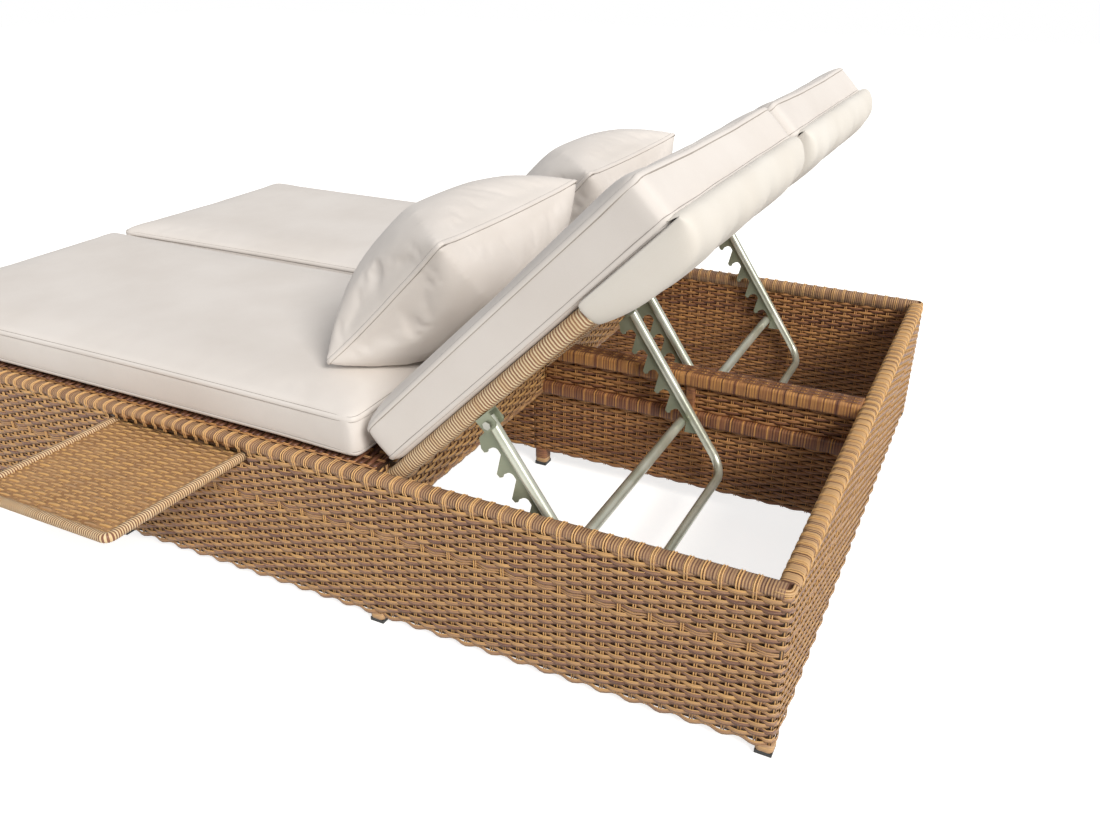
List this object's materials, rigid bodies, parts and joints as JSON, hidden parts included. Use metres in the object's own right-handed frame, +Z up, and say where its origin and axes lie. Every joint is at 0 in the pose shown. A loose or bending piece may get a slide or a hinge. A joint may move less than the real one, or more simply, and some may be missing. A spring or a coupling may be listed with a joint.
{
  "type": "double chaise lounger",
  "caption": "Woven double chaise lounger: cushioned base box with a pair of reclining backrests on toothed struts, throw pillows and slide-out side trays.",
  "frame": {"origin": "on the floor, in the middle of the base", "axes": "+X to the right as seen from the foot end, +Y towards the head end, +Z up"},
  "size_m": [1.94, 2.064, 0.8672],
  "materials": {
    "wicker": "woven resin strand",
    "wrapped_rail": "fine wrapped resin strand",
    "cushion_fabric": "plain woven ivory",
    "pillow_fabric": "plain woven ivory",
    "sleeve_fabric": "plain woven ivory",
    "sage_metal": "sage grey metallic powder coat",
    "frame_metal": "brown powder coat",
    "zinc_steel": "zinc plated",
    "cap_plastic": "moulded black"
  },
  "bodies": {
    "base": {"side_frame_right": "frame_metal", "side_frame_left": "frame_metal", "head_frame": "frame_metal", "foot_frame": "frame_metal", "partition_frame": "frame_metal", "hinge_beam": "frame_metal", "cross_rail_right": "frame_metal", "cross_rail_left": "frame_metal", "cross_weave_right": "wicker", "cross_weave_left": "wicker", "seat_web": "wicker", "seat_bearers": "frame_metal", "centre_spine": "frame_metal", "foot_caps": "cap_plastic", "leg_wraps": "wicker", "side_weave_right": "wicker", "side_weave_left": "wicker", "head_weave": "wicker", "foot_weave": "wicker", "partition_weave": "wicker", "seat_deck": "wicker", "rest_bar_right": "sage_metal", "rest_bar_left": "sage_metal", "tray_runners_right": "frame_metal", "tray_runners_left": "frame_metal", "seat_cushion_right": "cushion_fabric", "seat_cushion_left": "cushion_fabric"},
    "backrest_right": {"back_rail_inner_right": "wrapped_rail", "back_rail_outer_right": "wrapped_rail", "back_foot_tube_right": "frame_metal", "back_slats_right": "frame_metal", "back_head_tube_right": "frame_metal", "back_weave_right": "wicker", "strut_brackets_right": "sage_metal", "hinge_pins_right": "zinc_steel", "strut_bolts_right": "zinc_steel", "back_cushion_right": "cushion_fabric", "pocket_right": "sleeve_fabric", "pillow_right": "pillow_fabric"},
    "strut_right": {"strut_tube_right": "sage_metal", "rack_inner_right": "sage_metal", "rack_outer_right": "sage_metal"},
    "tray_right": {"tray_frame_right": "wicker", "tray_weave_right": "wicker"},
    "backrest_left": {"back_rail_inner_left": "wrapped_rail", "back_rail_outer_left": "wrapped_rail", "back_foot_tube_left": "frame_metal", "back_slats_left": "frame_metal", "back_head_tube_left": "frame_metal", "back_weave_left": "wicker", "strut_brackets_left": "sage_metal", "hinge_pins_left": "zinc_steel", "strut_bolts_left": "zinc_steel", "back_cushion_left": "cushion_fabric", "pocket_left": "sleeve_fabric", "pillow_left": "pillow_fabric"},
    "strut_left": {"strut_tube_left": "sage_metal", "rack_inner_left": "sage_metal", "rack_outer_left": "sage_metal"},
    "tray_left": {"tray_frame_left": "wicker", "tray_weave_left": "wicker"}
  },
  "joints": [
    {"name": "backrest_right_recline", "type": "hinge", "parent": "base", "child": "backrest_right", "pos_m": [0.335, 0.337, 0.3], "axis": [1, 0, 0], "range_deg": [-40, 0]},
    {"name": "strut_right_swing", "type": "hinge", "parent": "backrest_right", "child": "strut_right", "pos_m": [0.335, 0.52515, 0.44539], "axis": [1, 0, 0], "range_deg": [0, 96]},
    {"name": "tray_right_slide", "type": "slide", "parent": "base", "child": "tray_right", "axis": [-1, 0, 0], "range_m": [0, 0.296]},
    {"name": "backrest_left_recline", "type": "hinge", "parent": "base", "child": "backrest_left", "pos_m": [-0.335, 0.337, 0.3], "axis": [1, 0, 0], "range_deg": [-40, 0]},
    {"name": "strut_left_swing", "type": "hinge", "parent": "backrest_left", "child": "strut_left", "pos_m": [-0.335, 0.52515, 0.44539], "axis": [1, 0, 0], "range_deg": [0, 96]},
    {"name": "tray_left_slide", "type": "slide", "parent": "base", "child": "tray_left", "axis": [1, 0, 0], "range_m": [0, 0.296]}
  ],
  "couplings": [
    {"joint": "strut_right_swing", "follows": "backrest_right_recline", "ratio": -2.3975},
    {"joint": "strut_left_swing", "follows": "backrest_left_recline", "ratio": -2.3975}
  ]
}
